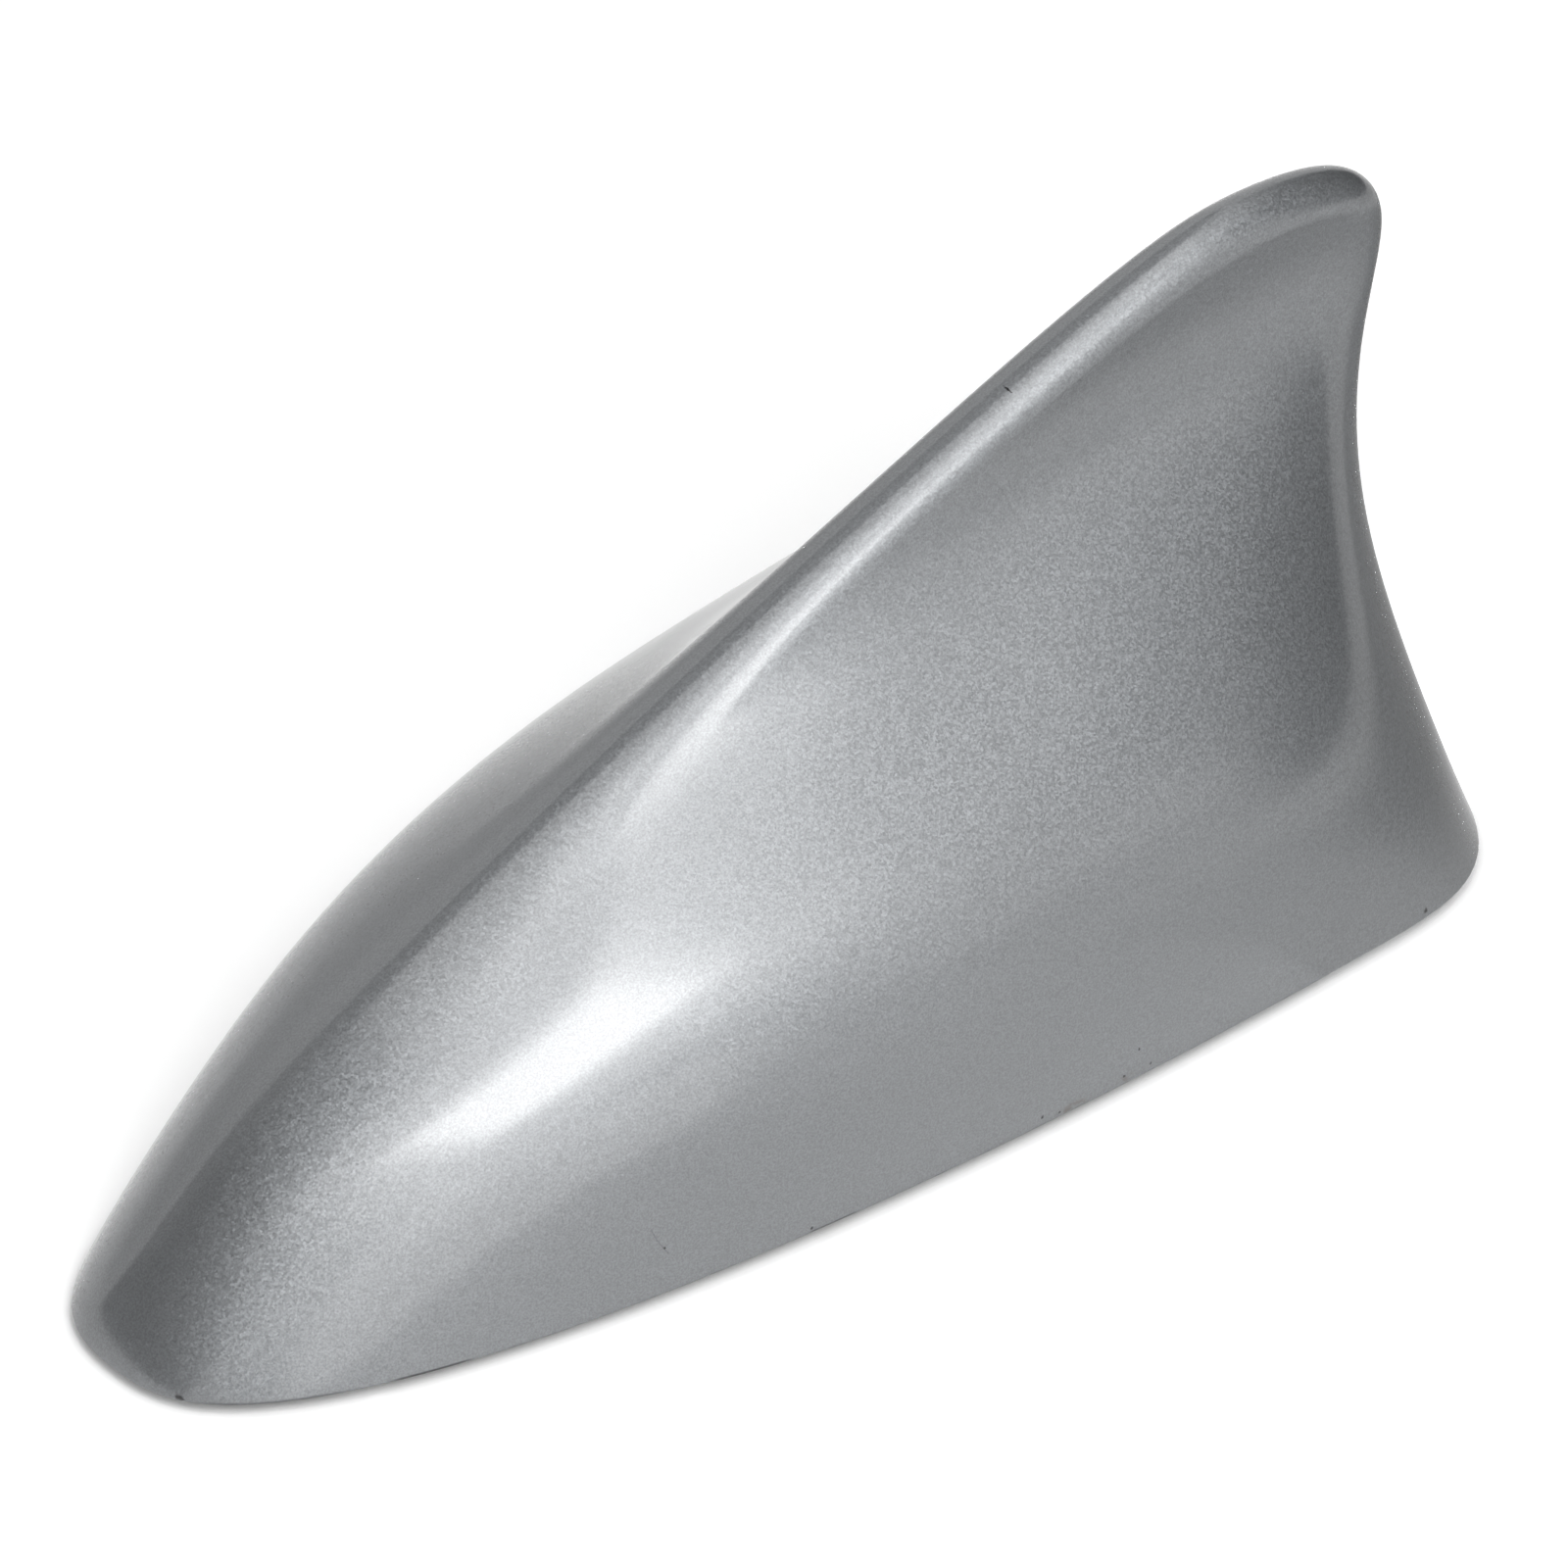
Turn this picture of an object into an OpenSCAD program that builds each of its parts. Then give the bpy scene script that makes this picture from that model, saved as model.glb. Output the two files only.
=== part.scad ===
// Shark fin aerial for a car roof. A moulded cover closes over a small amplifier board, a loading
// coil on a mast and a top plate inside the fin. All of it is carried by a moulded base plate that
// a foam pad holds to the roof. Millimetres. The roof is the plane z = 0, the origin is the centre
// of the rim, the nose points to -x and the tip leans to +x.

/* [Cover] */
// Length of the cover along the roof
cover_l = 160; // [152:1:170]
// Width of the cover at the rim
cover_w = 64; // [60:1:70]
// Height of the fin's tip above the roof
cover_h = 67.5; // [64:0.5:72]
// Thickness of the cover's wall
wall = 2.2; // [1.8:0.1:2.4]
// Radius of the ridge and of the trailing edge near the rim
edge_r_low = 2.8; // [2.6:0.1:3.4]
// Radius of the ridge and of the trailing edge near the tip
edge_r_high = 3.5; // [3.2:0.1:4]
// How far up the flanks stay full: a larger value keeps the lower body fuller
flank_full = 3.1; // [2.8:0.1:3.4]
// How hard the flanks draw in under the fin: a larger value gives a thinner fin
flank_draw = 4.5; // [4:0.1:5]

/* [Base] */
// Thickness of the foam pad under the base plate
pad_t = 1.2; // [0.8:0.1:1.6]
// Thickness of the base plate
base_t = 2.5; // [2:0.1:3]
// Gap between the base plate's edge and the cover's wall
fit_gap = 0.7; // [0.6:0.05:0.9]
// Distance of the front screws ahead of the circuit board
front_screw_gap = 7; // [6.5:0.5:9]
// Distance of the rear screws behind the circuit board
rear_screw_gap = 16; // [14:0.5:18]
// Distance of the front screws in from the rim, across the fin
front_screw_inset = 11.4; // [10.4:0.2:12.4]
// Distance of the rear screws in from the rim, across the fin
rear_screw_inset = 13; // [12:0.5:15]
// Diameter of the lead that the grommet holds
lead_d = 3.2; // [2.6:0.1:3.6]

/* [Board and aerial] */
// Length of the circuit board
board_l = 76; // [72:1:78]
// Width of the circuit board
board_w = 36; // [32:1:38]
// Height of the standoffs that carry the board
standoff_h = 4; // [3.4:0.1:4.5]
// Distance of the loading coil's axis behind the middle of the rim
coil_x = 22; // [18:1:26]
// Number of turns of the loading coil
coil_turns = 11; // [8:1:12]
// Diameter of the mast that the coil is wound on
mast_d = 8; // [7:0.5:9]
// Diameter of the coil's wire
wire_d = 0.8; // [0.6:0.1:0.9]
// Thickness of the top plate
plate_t = 0.5; // [0.4:0.1:0.8]

/* [Hidden] */

// Handles of the side view's two curves, as parts of the length and of the height. The ridge
// runs from the nose to the tip, the trailing edge from the tail to the tip.
tip_x = 0.377;
ridge = [
    for (h = [[-0.5, 0], [-0.495, 0.137], [-0.277, 0.488], [-0.542, 0.158], [0.233, 1], [tip_x, 1]])
        [h[0] * cover_l, h[1] * cover_h]
];
trail = [
    for (h = [[0.5, 0], [0.474, 0.243], [0.429, 0.581], [0.419, 0.639], [0.64, 1], [tip_x, 1]])
        [h[0] * cover_l, h[1] * cover_h]
];
// Where the plan view is widest, as a part of each slice from the ridge, at the rim and the tip
widest = [0.82, 0.21];
// Roundness of the plan view's front: power inside and power outside, from the rim to the tip
front_power = [2.04, 3.45];
front_root = [0.4, 0.86, 1.16];
// Squareness of the plan view's rear, at the rim and at the tip
rear_power = [3.48, 1.66];
tiny = 0.0001;

// Slices and points of the cover's outer and inner skins
outer_slices = 44;
outer_points = 30;
inner_slices = 26;
inner_points = 26;
inner_top = 0.86;

// Heights of the seats that the parts stand on
base_top = pad_t + base_t;
board_z = base_top + standoff_h;
board_t = 1.6;
board_top = board_z + board_t;
board_x = -1;

// Screws and the parts they meet
cover_screw_d = 2.9;
cover_screw_l = 12;
cover_head_d = 5.6;
cover_head_h = 1.7;
board_screw_d = 2.2;
board_screw_l = 6;
board_head_d = 4;
board_head_h = 1.5;
// Gaps round a screw in its bore, and round what passes through a hole
screw_gap = 0.05;
hole_gap = 0.25;
boss_d = 7;
standoff_d = 5;
front_screw_x = board_x - board_l / 2 - front_screw_gap;
front_screw_y = side_y(front_screw_x, 0) - front_screw_inset;
rear_screw_x = board_x + board_l / 2 + rear_screw_gap;
rear_screw_y = side_y(rear_screw_x, 0) - rear_screw_inset;
board_hole_x = board_l / 2 - 4;
board_hole_y = board_w / 2 - 4;

// How far the foam pad's edge stands back from the base plate's edge
pad_setback = 0.8;

// Seal and its seat on the base plate
seal_w = 2;
seal_h = 1.6;
seal_inset = wall + fit_gap + 0.2;
rib_inset = seal_inset + seal_w + 0.1;
rib_t = 1.4;
rib_h = 2;

// Grommet for the lead, behind the board
grommet_x = board_x + board_l / 2 + 13;
grommet_d = 8;
grommet_lip = 1.6;
grommet_lip_h = 1;

// Ground plate under the board
sheet_t = 0.4;
ground_l = board_l - 2;
ground_w = board_w - 1;

// Mast, coil and top plate
mast_foot_h = 1.5;
mast_foot_d = mast_d + 3;
coil_gap = 0.2;
coil_leg_r = mast_foot_d / 2 + 1.5;
terminal_d = 2.4;
terminal_h = 1.2;
coil_lift = 4;
coil_drop = 5;
plate_low = 0.62;
plate_high = 0.82;
plate_front = 4.5;
plate_rear = 6;
plate_reach = 20;
foam_t = 1.4;
fork_l = 7;
fork_w = 3.6;
fork_grip = 4;

// Places of the board's small parts, as parts of its length and of its width
chip_x = -0.17;
can_x = -0.3;
capacitor_x = [-0.33, -0.25, -0.09];
capacitor_y = 0.153;
resistor_x = [-0.29, -0.21, -0.053];
resistor_y = 0.236;
choke_x = 0.066;
choke_y = -0.25;

// Points along a smooth curve with handles p, by repeated halfway mixing
function mix(a, b, k) = a + (b - a) * k;
function curve(p, s) =
    len(p) == 1 ? p[0] : curve([for (i = [0:len(p) - 2]) mix(p[i], p[i + 1], s)], s);

// Direction of such a curve, and how steeply it climbs, from 0 for level to 1 for upright
function along(p, s) = curve([for (i = [0:len(p) - 2]) p[i + 1] - p[i]], s);
function climb(p, s) = let (d = along(p, s)) abs(d[1]) / max(norm(d), tiny);

// A slice joins the ridge to the trailing edge: its two ends, its length and how both edges climb
function slice(s) =
    let (r = curve(ridge, s), q = curve(trail, s))
    [r, q, norm(q - r), climb(ridge, s), climb(trail, s)];

// Half width of the cover on slice s at part t of the way from the ridge to the trailing edge
function half_width(s, t, c, r_climb, q_climb) =
    let (
        full = cover_w / 2 * pow(max(1 - pow(s, flank_full), 0), flank_draw),
        m = mix(widest[0], widest[1], s),
        inside = mix(front_power[0], front_power[1], s),
        front = t < m ? pow(max(1 - pow(1 - t / m, inside), 0), curve(front_root, s)) : 1,
        square = mix(rear_power[0], rear_power[1], s),
        rear = t > m ? sqrt(max(1 - pow((t - m) / (1 - m), square), 0)) : 1,
        u = t * c * r_climb,
        v = (1 - t) * c * q_climb,
        d = u * v / (u + v + tiny),
        r = mix(edge_r_low, edge_r_high, s),
        edge = r * sqrt(1 - pow(1 - min(d / r, 1), 2))
    )
    sqrt(pow(full * front * rear, 2) + edge * edge);

// Point of the skin on the side y > 0
function skin_at(s, t, sl) =
    let (p = mix(sl[0], sl[1], t)) [p[0], half_width(s, t, sl[2], sl[3], sl[4]), p[1]];
function skin(s, t) = skin_at(s, t, slice(s));

// Point at a depth under the skin, measured square to it
function under(s, t, depth) =
    let (
        e = 0.002,
        s0 = max(s - e, 0),
        s1 = min(s + e, 1),
        t0 = max(t - e, 0),
        t1 = min(t + e, 1),
        n = cross(skin(s, t1) - skin(s, t0), skin(s1, t) - skin(s0, t)),
        edge = t < e || t > 1 - e,
        flat = edge ? [n[0], 0, n[2]] : n,
        p = skin(s, t) + flat / norm(flat) * depth
    )
    [p[0], edge ? 0 : max(p[1], 0), s == 0 ? 0 : p[2]];

// Even steps along a slice that crowd towards both edges, and steps up the fin that crowd at the tip
function t_of(j, n) = (1 - cos(180 * j / n)) / 2;
function s_of(i, n) = (sin(90 * i / n) + i / n) / 2;

// One closed ring: along the near side from ridge to trailing edge, then back on the far side
function ring(half) = concat(
    [for (p = half) [p[0], -p[1], p[2]]],
    [for (j = [len(half) - 2:-1:1]) half[j]]
);
function outer_ring(s) = let (sl = slice(s)) ring([for (j = [0:outer_points])
    let (p = skin_at(s, t_of(j, outer_points), sl))
    [p[0], j == 0 || j == outer_points ? 0 : p[1], p[2]]]);
function inner_ring(s) = ring([for (j = [0:inner_points]) under(s, t_of(j, inner_points), wall)]);

// Triangles between two rings of n points that start at a and b
function band(a, b, n) = [for (j = [0:n - 1]) let (k = (j + 1) % n)
    each [[a + j, b + j, a + k], [a + k, b + j, b + k]]];

// Outline of the cover at height z, moved inwards by an inset measured in the plane
function slice_at(x, z, low = 0, high = 1, n = 22) =
    let (s = (low + high) / 2, sl = slice(s), t = (x - sl[0][0]) / (sl[1][0] - sl[0][0]))
    n == 0 ? s
    : mix(sl[0][1], sl[1][1], min(max(t, 0), 1)) < z ? slice_at(x, z, s, high, n - 1)
    : slice_at(x, z, low, s, n - 1);
function level_s(t, z, low = 0, high = 0.6, n = 22) =
    let (s = (low + high) / 2, sl = slice(s))
    n == 0 ? s
    : mix(sl[0][1], sl[1][1], t) < z ? level_s(t, z, s, high, n - 1)
    : level_s(t, z, low, s, n - 1);
function level_half(z, n) = [for (j = [0:n]) let (t = t_of(j, n), p = skin(level_s(t, z), t))
    [p[0], j == 0 || j == n ? 0 : -p[1]]];
function closed(half) = concat(half, [for (j = [len(half) - 2:-1:1]) [half[j][0], -half[j][1]]]);
function moved_in(p, d) = [for (i = [0:len(p) - 1])
    let (
        n = len(p),
        a = p[(i + 1) % n] - p[(i + n - 1) % n],
        u = a / norm(a)
    )
    p[i] + [-u[1], u[0]] * d];
outline_points = 26;
function outline(z, inset) = moved_in(closed(level_half(z, outline_points)), inset);

// Height of the cover's outer face above the point x, y of the roof
function roof_z(x, y, low = 0, high = 1, n = 22) =
    let (s = (low + high) / 2, sl = slice(s), t = (x - sl[0][0]) / (sl[1][0] - sl[0][0]))
    n == 0 ? mix(sl[0][1], sl[1][1], min(max(t, 0), 1))
    : t > 0 && t < 1 && half_width(s, t, sl[2], sl[3], sl[4]) > abs(y) ? roof_z(x, y, s, high, n - 1)
    : roof_z(x, y, low, s, n - 1);

// Half width of the cover's outer face at x and height z
function side_y(x, z) =
    let (s = slice_at(x, z), sl = slice(s), t = (x - sl[0][0]) / (sl[1][0] - sl[0][0]))
    half_width(s, t, sl[2], sl[3], sl[4]);

// Places that repeat on both sides of the centre plane
module both_sides() {
    children();
    mirror([0, 1, 0]) children();
}
module at_cover_screws() {
    for (side = [-1, 1]) {
        translate([front_screw_x, side * front_screw_y, 0]) children();
        translate([rear_screw_x, side * rear_screw_y, 0]) children();
    }
}
module at_board_screws() {
    for (x = [-1, 1], y = [-1, 1])
        translate([board_x + x * board_hole_x, y * board_hole_y, 0]) children();
}

// The cover's shell: outer skin, inner skin and the rim between them
module shell() {
    n_out = 2 * outer_points;
    n_in = 2 * inner_points;
    outer = [for (i = [0:outer_slices - 1]) each outer_ring(s_of(i, outer_slices))];
    inner = [for (i = [0:inner_slices]) each inner_ring(inner_top * i / inner_slices)];
    apex = len(outer);
    first_in = apex + 1;
    last_out = apex - n_out;
    last_in = first_in + inner_slices * n_in;
    polyhedron(
        points = concat(outer, [[tip_x * cover_l, 0, cover_h]], inner),
        faces = concat(
            [for (i = [0:outer_slices - 2]) each band(i * n_out, (i + 1) * n_out, n_out)],
            [for (j = [0:n_out - 1]) [last_out + j, apex, last_out + (j + 1) % n_out]],
            [for (i = [0:inner_slices - 1]) each
                [for (f = band(first_in + i * n_in, first_in + (i + 1) * n_in, n_in))
                    [f[2], f[1], f[0]]]],
            [for (j = [1:inner_points - 1]) let (
                    a = last_in + j,
                    b = last_in + (j + 1) % n_in,
                    c = last_in + n_in - j,
                    d = last_in + n_in - j - 1
                )
                each j == inner_points - 1 ? [[a, b, c]] : [[a, b, c], [b, d, c]]],
            [[last_in, last_in + 1, last_in + n_in - 1]],
            [for (j = [0:n_out - 1]) let (
                    k = (j + 1) % n_out,
                    a = first_in + inner_match(j),
                    b = first_in + inner_match(k)
                )
                each a == b ? [[j, k, a]] : [[j, k, a], [k, b, a]]]
        ),
        convexity = 8
    );
}
// The inner ring's point that faces point j of the outer ring
function inner_match(j) = round(j * inner_points / outer_points) % (2 * inner_points);

// A screw boss with a web that ties it to the flank beside it
module boss(x, y) {
    r = boss_d / 2;
    top = min([for (a = [0:30:330]) roof_z(x + r * cos(a), y + r * sin(a))]) - wall / 2;
    web_t = 1.8;
    web_low = base_top + rib_h + 1;
    steps = 6;
    difference() {
        union() {
            translate([x, y, base_top]) cylinder(d = boss_d, h = top - base_top, $fn = 40);
            translate([x + web_t / 2, 0, 0]) rotate([90, 0, -90])
                linear_extrude(web_t) polygon(concat(
                    [[-y, web_low], [-y, top]],
                    [for (i = [steps:-1:0]) let (z = mix(web_low, top, i / steps))
                        [-side_y(x, z) + wall / 2, z]]
                ));
        }
        translate([x, y, base_top - 1])
            cylinder(d = cover_screw_d + 2 * screw_gap, h = cover_screw_l - base_t + 2, $fn = 40);
    }
}

module cover() {
    color("silver") union() {
        shell();
        both_sides() {
            boss(front_screw_x, front_screw_y);
            boss(rear_screw_x, rear_screw_y);
        }
    }
}

// The plate that everything stands on: rib for the seal, standoffs, screw wells and lead outlet
module base_plate() {
    color("dimgray") difference() {
        union() {
            translate([0, 0, pad_t]) linear_extrude(base_t) polygon(outline(base_top, wall + fit_gap));
            translate([0, 0, base_top]) linear_extrude(rib_h) difference() {
                polygon(outline(base_top, rib_inset));
                polygon(outline(base_top, rib_inset + rib_t));
                at_cover_screws() circle(d = boss_d + 4 * hole_gap, $fn = 40);
            }
            at_board_screws() translate([0, 0, base_top])
                cylinder(d = standoff_d, h = standoff_h, $fn = 40);
        }
        at_cover_screws() translate([0, 0, pad_t - 1]) {
            cylinder(d = cover_screw_d + 2 * hole_gap, h = base_t + 2, $fn = 40);
            cylinder(d = cover_head_d + 2 * screw_gap, h = 1 + tiny, $fn = 40);
            translate([0, 0, 1]) cylinder(
                d1 = cover_head_d + 2 * screw_gap,
                d2 = cover_screw_d + 2 * screw_gap,
                h = cover_head_h,
                $fn = 40
            );
        }
        at_board_screws() translate([0, 0, base_top - 1])
            cylinder(d = board_screw_d + 2 * screw_gap, h = standoff_h + 2, $fn = 32);
        translate([grommet_x, 0, 0]) cylinder(d = grommet_d, h = base_top + 1, $fn = 48);
    }
}

// Foam that sticks the aerial to the roof, cut out round the lead and the screw heads
module adhesive_pad() {
    color("black") linear_extrude(pad_t) difference() {
        polygon(outline(base_top, wall + fit_gap + pad_setback));
        translate([grommet_x, 0]) circle(d = grommet_d + 2 * grommet_lip + 2, $fn = 48);
        at_cover_screws() circle(d = cover_head_d + 2.4, $fn = 40);
    }
}

// Rubber ring between the base plate's rib and the cover
module perimeter_seal() {
    color("darkslategray") translate([0, 0, base_top]) linear_extrude(seal_h) difference() {
        polygon(outline(base_top + seal_h, seal_inset));
        polygon(outline(base_top, rib_inset - 0.1));
    }
}

// Rubber grommet, with a groove that grips the base plate and a bore for the lead
module cable_grommet() {
    r = grommet_d / 2;
    color("black") translate([grommet_x, 0, 0]) rotate_extrude($fn = 48) polygon([
        [lead_d / 2, pad_t - grommet_lip_h],
        [r + grommet_lip, pad_t - grommet_lip_h],
        [r + grommet_lip, pad_t],
        [r - screw_gap, pad_t],
        [r - screw_gap, base_top],
        [r + grommet_lip, base_top],
        [r + grommet_lip - 1, base_top + grommet_lip_h],
        [lead_d / 2, base_top + grommet_lip_h]
    ]);
}

// A screw with its head's top at z = 0 and its shank along +z; a flat head is a cone
module screw(d, l, head_d, head_h, sunk) {
    slot = 0.7;
    slot_l = head_d * 0.6;
    difference() {
        union() {
            cylinder(d1 = head_d, d2 = sunk ? d : head_d, h = head_h, $fn = 32);
            cylinder(d = d, h = l, $fn = 32);
        }
        for (a = [0, 90]) rotate([0, 0, a])
            translate([-slot_l / 2, -slot / 2, -1]) cube([slot_l, slot, 1 + head_h * 0.6]);
    }
}

module cover_screws() {
    color("gray") at_cover_screws() translate([0, 0, pad_t])
        screw(cover_screw_d, cover_screw_l, cover_head_d, cover_head_h, true);
}

// Tinned sheet that couples the board's earth to the roof, with holes for the standoffs
module ground_plate() {
    color("lightgray") translate([board_x, 0, base_top]) linear_extrude(sheet_t) difference() {
        square([ground_l, ground_w], center = true);
        translate([-board_x, 0]) at_board_screws() circle(d = standoff_d + 2 * hole_gap, $fn = 40);
        for (y = [-1, 1]) translate([0, y * ground_w / 4]) square([ground_l / 3, 3], center = true);
    }
}

// Spring strip from the ground plate up to the board's earth pad
module earth_spring() {
    low = base_top + sheet_t;
    r = (board_z - low) / 2;
    strip_t = 0.3;
    leg = 5;
    color("gold") translate([board_x, 1.5, low + r]) rotate([90, 0, 0]) linear_extrude(3) {
        difference() {
            circle(r = r, $fn = 40);
            circle(r = r - strip_t, $fn = 40);
            translate([0, -r - 1]) square([r + 1, 2 * r + 2]);
        }
        translate([-tiny, -r]) square([leg, strip_t]);
        translate([-tiny, r - strip_t]) square([leg, strip_t]);
    }
}

module circuit_board() {
    color("darkgreen") translate([0, 0, board_z]) linear_extrude(board_t) difference() {
        translate([board_x - board_l / 2, -board_w / 2]) square([board_l, board_w]);
        at_board_screws() circle(d = board_screw_d + 2 * hole_gap, $fn = 32);
        for (y = [-1, 1]) translate([board_x + board_l / 2, y * board_w / 2])
            circle(d = 3, $fn = 32);
    }
}

module board_screws() {
    color("gray") at_board_screws() translate([0, 0, board_top + board_head_h]) mirror([0, 0, 1])
        screw(board_screw_d, board_screw_l + board_head_h, board_head_d, board_head_h, false);
}

// Lower edge of the top plate at x, and the point of the plate's outline at a margin from an edge
function plate_z(x) = let (sl = slice(plate_low))
    mix(sl[0][1], sl[1][1], (x - sl[0][0]) / (sl[1][0] - sl[0][0]));
function plate_front_at(s) = let (sl = slice(s)) mix(sl[0], sl[1], plate_front / sl[2] / sl[3]);
function plate_rear_at(s) = let (sl = slice(s)) mix(sl[1], sl[0], plate_rear / sl[2] / sl[4]);

// Plastic mast on the board: a foot, the former for the coil and a fork that grips the top plate
module element_mast() {
    low = plate_z(coil_x - fork_l / 2);
    high = plate_z(coil_x + fork_l / 2) + fork_grip;
    color("ivory") difference() {
        union() {
            translate([coil_x, 0, board_top]) cylinder(d = mast_foot_d, h = mast_foot_h, $fn = 48);
            translate([coil_x, 0, board_top]) cylinder(d = mast_d, h = low - 2 - board_top, $fn = 48);
            translate([coil_x - fork_l / 2, -fork_w / 2, low - 3])
                cube([fork_l, fork_w, high - low + 3]);
        }
        top_plate_body(plate_t + 0.1, 0.05);
    }
}

// Flat plate that follows the fin's side view at an even margin
module top_plate_body(t, grow) {
    n = 10;
    steps = [for (i = [0:n]) mix(plate_low, plate_high, i / n)];
    rotate([90, 0, 0]) linear_extrude(t, center = true) intersection() {
        polygon(concat(
            [for (s = steps) plate_front_at(s) - [grow, grow]],
            [for (i = [n:-1:0]) plate_rear_at(steps[i]) + [grow, -grow]]
        ));
        translate([coil_x - plate_reach, 0]) square([cover_l, cover_h]);
    }
}

module top_load_plate() {
    color("lightgray") difference() {
        top_plate_body(plate_t, 0);
        for (k = [0.4, 0.8]) let (
                s = mix(plate_low, plate_high, 0.62),
                p = mix(plate_front_at(s), plate_rear_at(s), k)
            )
            translate([p[0], 1, p[1]]) rotate([90, 0, 0]) cylinder(d = 4, h = 2, $fn = 32);
    }
}

// Foam blocks on both faces of the top plate that keep it from rattling against the cover
module foam_pads() {
    s = mix(plate_low, plate_high, 0.4);
    p = mix(plate_front_at(s), plate_rear_at(s), 0.6);
    color("darkgray") both_sides()
        translate([p[0] - 4, plate_t / 2, p[1] - 3]) cube([8, foam_t, 6]);
}

// Path of the coil's wire: up from its terminal, round the mast and up to the top plate
module antenna_coil() {
    r = mast_d / 2 + wire_d / 2 + coil_gap;
    leg_low = board_top + terminal_h;
    coil_low = board_top + coil_lift;
    coil_high = plate_z(coil_x) - coil_drop;
    per_turn = 14;
    n = coil_turns * per_turn + per_turn / 2;
    end_x = coil_x + r;
    path = concat(
        [[coil_leg_r, 180, leg_low], [coil_leg_r, 180, coil_low - 0.6]],
        [for (i = [0:n]) [mix(coil_leg_r, r, min(i / 5, 1)), 180 + 360 * i / per_turn,
            mix(coil_low, coil_high, i / n)]],
        [[r, 180 + 360 * n / per_turn, coil_high + 1],
            [r, 180 + 360 * n / per_turn, plate_z(end_x) - wire_d / 4]]
    );
    at = [for (p = path) [coil_x + p[0] * cos(p[1]), p[0] * sin(p[1]), p[2]]];
    sides = 6;
    last = len(path) - 1;
    points = [for (i = [0:last])
        let (
            d = at[min(i + 1, last)] - at[max(i - 1, 0)],
            out = [cos(path[i][1]), sin(path[i][1]), 0],
            across = cross(d, out) / norm(cross(d, out)),
            square_out = cross(across, d) / norm(cross(across, d))
        )
        for (k = [0:sides - 1])
            at[i] + wire_d / 2 * (square_out * cos(360 * k / sides) + across * sin(360 * k / sides))];
    color("peru") polyhedron(
        points = points,
        faces = concat(
            [for (i = [0:last - 1]) each band(i * sides, (i + 1) * sides, sides)],
            [[for (k = [0:sides - 1]) k]],
            [[for (k = [sides - 1:-1:0]) last * sides + k]]
        ),
        convexity = 10
    );
}

// Brass eyelet on the board that the coil's lower leg is soldered to
module coil_terminal() {
    color("gold") translate([coil_x - coil_leg_r, 0, board_top]) {
        cylinder(d = terminal_d, h = terminal_h / 3, $fn = 32);
        cylinder(d = terminal_d * 2 / 3, h = terminal_h, $fn = 32);
    }
}

// Pins at the board's rear edge for the lead's core and its screen
module lead_pins() {
    color("gold") for (y = [-3, 3]) translate([board_x + board_l / 2 - 3, y, board_top]) {
        cylinder(d = 1.8, h = 0.5, $fn = 32);
        cylinder(d = 0.9, h = 3, $fn = 32);
    }
}

// Chip with four leads on each side
module amplifier_chip() {
    body = [5, 4, 1.4];
    lift = 0.15;
    pitch = 1.27;
    color("black") translate([board_x + chip_x * board_l, 0, board_top]) {
        translate([-body[0] / 2, -body[1] / 2, lift]) cube(body);
        for (i = [0:3]) translate([(i - 1.5) * pitch - 0.2, -body[1] / 2 - 1, 0]) {
            cube([0.4, body[1] + 2, 0.2]);
        }
    }
}

// Two rows of chip parts, each part a block of the given size
module chips(columns, row, size) {
    for (x = columns, side = [-1, 1])
        translate([board_x + x * board_l, side * row * board_w, board_top])
            translate([-size[0] / 2, -size[1] / 2, 0]) cube(size);
}
module chip_capacitors() {
    color("tan") chips(capacitor_x, capacitor_y, [2, 1.25, 0.9]);
}
module chip_resistors() {
    color("black") chips(resistor_x, resistor_y, [2, 1.25, 0.5]);
}

module electrolytic_capacitor() {
    color("silver") translate([board_x + can_x * board_l, 0, board_top]) {
        translate([-2.6, -2.6, 0]) cube([5.2, 5.2, 1]);
        cylinder(d = 5, h = 5.4, $fn = 40);
    }
}

// Drum core of the choke and the wire wound on it
choke_at = [board_x + choke_x * board_l, choke_y * board_w];
choke_d = 6;
choke_h = 4.5;
choke_waist = 3;
choke_lip = 0.9;
module choke_core() {
    color("dimgray") translate([choke_at[0], choke_at[1], board_top]) rotate_extrude($fn = 40)
        polygon([
            [0, 0],
            [choke_d / 2, 0],
            [choke_d / 2, choke_lip],
            [choke_waist / 2, choke_lip],
            [choke_waist / 2, choke_h - choke_lip],
            [choke_d / 2, choke_h - choke_lip],
            [choke_d / 2, choke_h],
            [0, choke_h]
        ]);
}
module choke_winding() {
    turns_h = choke_h - 2 * choke_lip - 0.1;
    color("peru") translate([choke_at[0], choke_at[1], board_top + choke_lip + 0.05])
        difference() {
            cylinder(d = choke_d - 0.8, h = turns_h, $fn = 40);
            translate([0, 0, -1]) cylinder(d = choke_waist + 0.05, h = turns_h + 2, $fn = 40);
        }
}

cover();
base_plate();
adhesive_pad();
perimeter_seal();
cable_grommet();
cover_screws();
ground_plate();
earth_spring();
circuit_board();
board_screws();
element_mast();
antenna_coil();
top_load_plate();
foam_pads();
coil_terminal();
lead_pins();
amplifier_chip();
chip_capacitors();
chip_resistors();
electrolytic_capacitor();
choke_core();
choke_winding();
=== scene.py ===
"""A silver shark fin aerial on a white table, seen from above its nose.

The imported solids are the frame. The painted cover is drawn again here from the
same curves, fine enough for a smooth gloss. Millimetres until the last step.
"""
import math

import bpy
from mathutils import Matrix, Vector


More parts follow.
